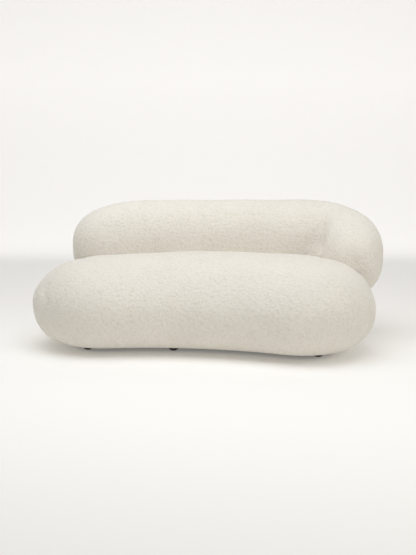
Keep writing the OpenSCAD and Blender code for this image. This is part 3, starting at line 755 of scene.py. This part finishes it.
fibre = put(grain, "TexNoise", Vector=drawn.outputs["Vector"], Scale=900.0, Detail=2.0)
wood = blend_of(grain, 0.35, figure.outputs["Fac"], fibre.outputs["Fac"])
wood_tone = ramp(grain, wood, (0.32, 0.0), (0.68, 1.0))
grain.links.new(blend_of(grain, wood_tone, given["Dark color"], given["Light color"]), out["Color"])
grain.links.new(wood, out["Height"])
grain.links.new(rough_with(grain, wood_tone, 0.12, given["Rough"]), out["Roughness"])

lacquer = material_from("black_lacquer", grain, 0.0003, {
    "Ring_size": 0.006, "Dark_color": (0.006, 0.006, 0.006, 1),
    "Light_color": (0.016, 0.015, 0.014, 1), "Rough": 0.28},
    {"Coat Weight": 0.4, "Coat Roughness": 0.18})
glide_look = material_from("glide_felt", pores, 0.0003, {
    "Cell_size": 0.0015, "Deep_color": (0.03, 0.03, 0.03, 1), "Top_color": (0.10, 0.10, 0.095, 1)})


def turned(name, profile, place, around=56):
    """A lathe-turned solid from (radius, height) points."""
    angles = [2 * math.pi * i / around for i in range(around)]
    piece = ringed(name, [
        [(place[0] + radius * math.cos(a), place[1] + radius * math.sin(a), height)
         for a in angles] for radius, height in profile])
    piece.data.shade_smooth()
    return piece


foot_r, collar_r, glide_edge_r, collar_t = 0.026, 0.0235, 0.0165, 0.0035
bun_turn, bun_steps, bun_power = 76, 22, 0.8
foot_places = [row + side for row in ("front_", "back_") for side in ("left", "middle", "right")]
for side in foot_places:
    low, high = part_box("foot_" + side)
    middle = (low + high) / 2
    bun_top = high.z - collar_t
    bun_mid, half_bun = (low.z + bun_top) / 2, (bun_top - low.z) / 2
    profile = [(glide_edge_r - 0.001, low.z)]
    for t in np.radians(np.linspace(-bun_turn, bun_turn, bun_steps)):
        radius = glide_edge_r + (foot_r - glide_edge_r) * math.cos(t) ** bun_power
        profile.append((radius, bun_mid + half_bun * math.sin(t)))
    profile += [(collar_r - 0.003, bun_top), (collar_r, bun_top + 0.0008), (collar_r, high.z)]
    foot = turned("turned_foot_" + side, profile, middle)
    dress(foot, lacquer)
    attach(foot, "root")
    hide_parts("foot_" + side)
    dress(nodes["glide_" + side], glide_look)

# ---- timber frame ----
# Birch plywood rings and rails, beech posts and formers glued on beech dowels, and thin bent
# hardboard skins that carry the foam.
plywood_look = material_from("birch_plywood", grain, 0.0003, {
    "Ring_size": 0.03, "Dark_color": (0.46, 0.31, 0.17, 1), "Light_color": (0.74, 0.57, 0.37, 1),
    "Rough": 0.55})
beech_look = material_from("beech", grain, 0.0003, {
    "Ring_size": 0.014, "Dark_color": (0.42, 0.24, 0.13, 1), "Light_color": (0.66, 0.44, 0.28, 1),
    "Rough": 0.5})
hardboard_look = material_from("hardboard", pores, 0.0002, {
    "Cell_size": 0.0018, "Deep_color": (0.13, 0.07, 0.035, 1), "Top_color": (0.26, 0.15, 0.08, 1),
    "Rough": 0.6})
for name in ("base_ring", "deck_ring", "back_bottom_rail", "back_top_rail", "back_formers"):
    dress(nodes[name], plywood_look)
for name in ("seat_posts", "post_dowels", "webbing_rails"):
    dress(nodes[name], beech_look)
for name in ("seat_skin", "back_front_skin", "back_rear_skin"):
    dress(nodes[name], hardboard_look)

# ---- webbing, felt and lining ----
# Elastic webbing woven in both directions and stapled down, a needled felt over it, and black
# non-woven lining that closes the underside of the seat and of the roll.
weave, given, out = shader_group("weave", (
    ("Thread size", FLOAT, 0.002), ("Deep color", COLOUR, (0.05, 0.05, 0.05, 1)),
    ("Top color", COLOUR, (0.2, 0.2, 0.2, 1)), ("Rough", FLOAT, 0.8)), surface_outputs)
spot = put(weave, "TexCoord").outputs["Object"]
scale = one_over(weave, given["Thread size"])
warp, weft = (
    put(weave, "TexWave", {"bands_direction": way}, Vector=spot, Scale=scale, Distortion=0.4)
    for way in "XY")
crossing = blend_of(weave, 0.5, warp.outputs["Fac"], weft.outputs["Fac"], "DIFFERENCE")
weave.links.new(blend_of(weave, crossing, given["Deep color"], given["Top color"]), out["Color"])
weave.links.new(crossing, out["Height"])
weave.links.new(rough_with(weave, crossing, -0.15, given["Rough"]), out["Roughness"])
strap_look = material_from("elastic_webbing", weave, 0.0004, {
    "Thread_size": 0.006, "Deep_color": (0.08, 0.08, 0.085, 1),
    "Top_color": (0.30, 0.29, 0.28, 1)})
lining_look = material_from("black_lining", weave, 0.0002, {
    "Thread_size": 0.004, "Deep_color": (0.010, 0.010, 0.010, 1),
    "Top_color": (0.035, 0.035, 0.035, 1)})
for name in ("webbing_long", "webbing_cross"):
    dress(nodes[name], strap_look)
felt_look = material_from("needled_felt", pores, 0.0006, {
    "Cell_size": 0.004, "Deep_color": (0.16, 0.18, 0.20, 1), "Top_color": (0.42, 0.44, 0.47, 1)})
dress(nodes["deck_felt"], felt_look)
for name in ("dust_cover", "back_cloth"):
    dress(nodes[name], lining_look)


# ---- fixings ----
# Zinc-plated bolts, tee nuts and staples, yellow zinc chipboard screws, and painted steel bars
# that carry the roll on the seat frame.
plating, given, out = shader_group("worn_metal", (
    ("Deep color", COLOUR, (0.3, 0.3, 0.3, 1)), ("Top color", COLOUR, (0.6, 0.6, 0.6, 1)),
    ("Rough", FLOAT, 0.35)), surface_outputs)
spot = put(plating, "TexCoord").outputs["Object"]
bloom = put(plating, "TexNoise", Vector=spot, Scale=240.0, Detail=4.0)
scratches = put(plating, "TexNoise", Vector=spot, Scale=1200.0, Detail=1.0, Distortion=2.0)
marks = blend_of(plating, 0.4, bloom.outputs["Fac"], scratches.outputs["Fac"])
mark_tone = ramp(plating, marks, (0.35, 0.0), (0.65, 1.0))
plating_colour = blend_of(plating, mark_tone, given["Deep color"], given["Top color"])
plating.links.new(plating_colour, out["Color"])
plating.links.new(marks, out["Height"])
plating.links.new(rough_with(plating, mark_tone, 0.15, given["Rough"]), out["Roughness"])
zinc_look = material_from("zinc_plate", plating, 0.0001, {
    "Deep_color": (0.42, 0.44, 0.46, 1), "Top_color": (0.66, 0.68, 0.70, 1), "Rough": 0.3},
    {"Metallic": 1.0})
yellow_look = material_from("yellow_zinc", plating, 0.0001, {
    "Deep_color": (0.52, 0.38, 0.14, 1), "Top_color": (0.80, 0.62, 0.28, 1), "Rough": 0.3},
    {"Metallic": 1.0})
bar_look = material_from("black_steel", plating, 0.0002, {
    "Deep_color": (0.012, 0.012, 0.013, 1), "Top_color": (0.05, 0.05, 0.052, 1), "Rough": 0.45})
for name in ("webbing_staples", "cover_staples", "back_staples", "foot_bolts", "foot_tee_nuts",
             "bracket_spacers", "bracket_bolts", "bracket_tee_nuts"):
    dress(nodes[name], zinc_look)
dress(nodes["former_screws"], yellow_look)
dress(nodes["back_brackets"], bar_look)
